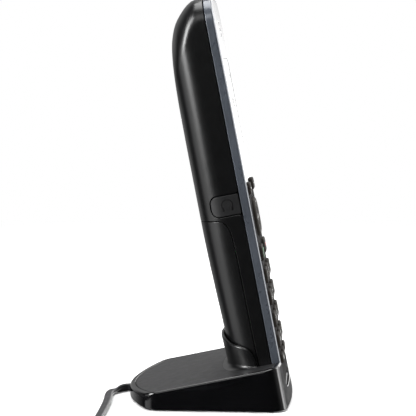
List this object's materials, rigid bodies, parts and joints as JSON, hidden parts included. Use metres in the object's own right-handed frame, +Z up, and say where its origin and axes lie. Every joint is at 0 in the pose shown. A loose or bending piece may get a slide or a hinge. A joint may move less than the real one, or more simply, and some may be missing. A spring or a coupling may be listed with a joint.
{
  "type": "cordless phone with charging base",
  "caption": "Slim cordless telephone handset leaning in a low wedge-shaped charging cradle, with a thin coiled lead and plug-in mains adapter.",
  "frame": {"origin": "centre of the cradle's footprint on the surface it stands on", "axes": "+Z up, +X to the right as the user faces the keypad, the keypad and display face -Y; the handset leans back towards +Y"},
  "size_m": [0.2265, 0.0846, 0.1782],
  "materials": {
    "bezel": "dark slate satin painted plastic",
    "shell": "black satin plastic with a fine moulded texture",
    "matte": "dark grey matt plastic",
    "gloss": "high-gloss black plastic",
    "rubber": "soft black rubber",
    "keys": "dark warm-grey rubber keys",
    "talk": "rubber key tinted green",
    "lens": "clear hard display window over black print",
    "lcd": "grey-green display glass",
    "steel": "plain nickel-plated steel",
    "gold": "gold-plated contacts",
    "board": "green circuit board",
    "cell": "sleeved battery cell",
    "lead": "flexible black PVC"
  },
  "bodies": {
    "base": {"base_housing": "gloss", "base_top_panel": "matte", "cradle_cup": "shell", "base_bottom_plate": "matte", "rubber_foot_front": "rubber", "rubber_foot_back": "rubber", "base_screw_left": "steel", "base_screw_right": "steel", "base_board": "board", "cord_grommet": "rubber", "cord_lead": "lead", "cord_tail": "lead", "cord_coil": "lead", "cord_tie": "rubber", "adapter_case_lower": "matte", "adapter_case_upper": "matte", "adapter_blade_left": "steel", "adapter_blade_right": "steel", "adapter_strain_relief": "rubber"},
    "handset": {"front_housing": "bezel", "rear_housing": "shell", "rear_speaker_plate": "shell", "display_lens": "lens", "lcd_panel": "lcd", "earpiece_speaker": "steel", "keypad_mat": "rubber", "handset_board": "board", "headset_jack": "shell", "rear_speaker": "steel", "battery_cell_left": "cell", "battery_cell_right": "cell", "battery_contact_lower": "steel", "battery_contact_upper": "steel", "charge_contact_left": "gold", "charge_contact_right": "gold", "battery_door": "shell"},
    "jack_cover": {"headset_jack_cover": "rubber"},
    "charge_pin_left": {"charge_pin_left": "gold"},
    "charge_pin_right": {"charge_pin_right": "gold"},
    "softkey_left": {"softkey_left": "keys"},
    "softkey_right": {"softkey_right": "keys"},
    "talk_key": {"talk_key": "talk"},
    "off_key": {"off_key": "keys"},
    "key_1": {"key_1": "keys"},
    "key_2": {"key_2": "keys"},
    "key_3": {"key_3": "keys"},
    "key_4": {"key_4": "keys"},
    "key_5": {"key_5": "keys"},
    "key_6": {"key_6": "keys"},
    "key_7": {"key_7": "keys"},
    "key_8": {"key_8": "keys"},
    "key_9": {"key_9": "keys"},
    "key_star": {"key_star": "keys"},
    "key_0": {"key_0": "keys"},
    "key_hash": {"key_hash": "keys"},
    "function_key_left": {"function_key_left": "keys"},
    "function_key_centre": {"function_key_centre": "keys"},
    "function_key_right": {"function_key_right": "keys"},
    "nav_key": {"nav_key": "keys"},
    "select_key": {"select_key": "keys"}
  },
  "joints": [
    {"name": "handset_lift", "type": "slide", "parent": "base", "child": "handset", "axis": [0, 0.1917, 0.9815], "range_m": [0, 0.06]},
    {"name": "jack_cover_hinge", "type": "hinge", "parent": "handset", "child": "jack_cover", "pos_m": [-0.021, 0.0006, 0.08622], "axis": [0, -0.1917, -0.9815], "range_deg": [0, 90]},
    {"name": "softkey_left_press", "type": "slide", "parent": "handset", "child": "softkey_left", "axis": [0, 0.9815, -0.1917], "range_m": [0, 0.0008], "stiffness_N_per_m": 800},
    {"name": "softkey_right_press", "type": "slide", "parent": "handset", "child": "softkey_right", "axis": [0, 0.9815, -0.1917], "range_m": [0, 0.0008], "stiffness_N_per_m": 800},
    {"name": "talk_key_press", "type": "slide", "parent": "handset", "child": "talk_key", "axis": [0, 0.9815, -0.1917], "range_m": [0, 0.0008], "stiffness_N_per_m": 800},
    {"name": "off_key_press", "type": "slide", "parent": "handset", "child": "off_key", "axis": [0, 0.9815, -0.1917], "range_m": [0, 0.0008], "stiffness_N_per_m": 800},
    {"name": "key_1_press", "type": "slide", "parent": "handset", "child": "key_1", "axis": [0, 0.9815, -0.1917], "range_m": [0, 0.0008], "stiffness_N_per_m": 800},
    {"name": "key_2_press", "type": "slide", "parent": "handset", "child": "key_2", "axis": [0, 0.9815, -0.1917], "range_m": [0, 0.0008], "stiffness_N_per_m": 800},
    {"name": "key_3_press", "type": "slide", "parent": "handset", "child": "key_3", "axis": [0, 0.9815, -0.1917], "range_m": [0, 0.0008], "stiffness_N_per_m": 800},
    {"name": "key_4_press", "type": "slide", "parent": "handset", "child": "key_4", "axis": [0, 0.9815, -0.1917], "range_m": [0, 0.0008], "stiffness_N_per_m": 800},
    {"name": "key_5_press", "type": "slide", "parent": "handset", "child": "key_5", "axis": [0, 0.9815, -0.1917], "range_m": [0, 0.0008], "stiffness_N_per_m": 800},
    {"name": "key_6_press", "type": "slide", "parent": "handset", "child": "key_6", "axis": [0, 0.9815, -0.1917], "range_m": [0, 0.0008], "stiffness_N_per_m": 800},
    {"name": "key_7_press", "type": "slide", "parent": "handset", "child": "key_7", "axis": [0, 0.9815, -0.1917], "range_m": [0, 0.0008], "stiffness_N_per_m": 800},
    {"name": "key_8_press", "type": "slide", "parent": "handset", "child": "key_8", "axis": [0, 0.9815, -0.1917], "range_m": [0, 0.0008], "stiffness_N_per_m": 800},
    {"name": "key_9_press", "type": "slide", "parent": "handset", "child": "key_9", "axis": [0, 0.9815, -0.1917], "range_m": [0, 0.0008], "stiffness_N_per_m": 800},
    {"name": "key_star_press", "type": "slide", "parent": "handset", "child": "key_star", "axis": [0, 0.9815, -0.1917], "range_m": [0, 0.0008], "stiffness_N_per_m": 800},
    {"name": "key_0_press", "type": "slide", "parent": "handset", "child": "key_0", "axis": [0, 0.9815, -0.1917], "range_m": [0, 0.0008], "stiffness_N_per_m": 800},
    {"name": "key_hash_press", "type": "slide", "parent": "handset", "child": "key_hash", "axis": [0, 0.9815, -0.1917], "range_m": [0, 0.0008], "stiffness_N_per_m": 800},
    {"name": "function_key_left_press", "type": "slide", "parent": "handset", "child": "function_key_left", "axis": [0, 0.9815, -0.1917], "range_m": [0, 0.0008], "stiffness_N_per_m": 800},
    {"name": "function_key_centre_press", "type": "slide", "parent": "handset", "child": "function_key_centre", "axis": [0, 0.9815, -0.1917], "range_m": [0, 0.0008], "stiffness_N_per_m": 800},
    {"name": "function_key_right_press", "type": "slide", "parent": "handset", "child": "function_key_right", "axis": [0, 0.9815, -0.1917], "range_m": [0, 0.0008], "stiffness_N_per_m": 800},
    {"name": "nav_key_press", "type": "slide", "parent": "handset", "child": "nav_key", "axis": [0, 0.9815, -0.1917], "range_m": [0, 0.0008], "stiffness_N_per_m": 800},
    {"name": "select_key_press", "type": "slide", "parent": "handset", "child": "select_key", "axis": [0, 0.9815, -0.1917], "range_m": [0, 0.0008], "stiffness_N_per_m": 800},
    {"name": "charge_pin_left_press", "type": "slide", "parent": "base", "child": "charge_pin_left", "axis": [0, -0.1917, -0.9815], "range_m": [0, 0.0006], "stiffness_N_per_m": 300},
    {"name": "charge_pin_right_press", "type": "slide", "parent": "base", "child": "charge_pin_right", "axis": [0, -0.1917, -0.9815], "range_m": [0, 0.0006], "stiffness_N_per_m": 300}
  ]
}
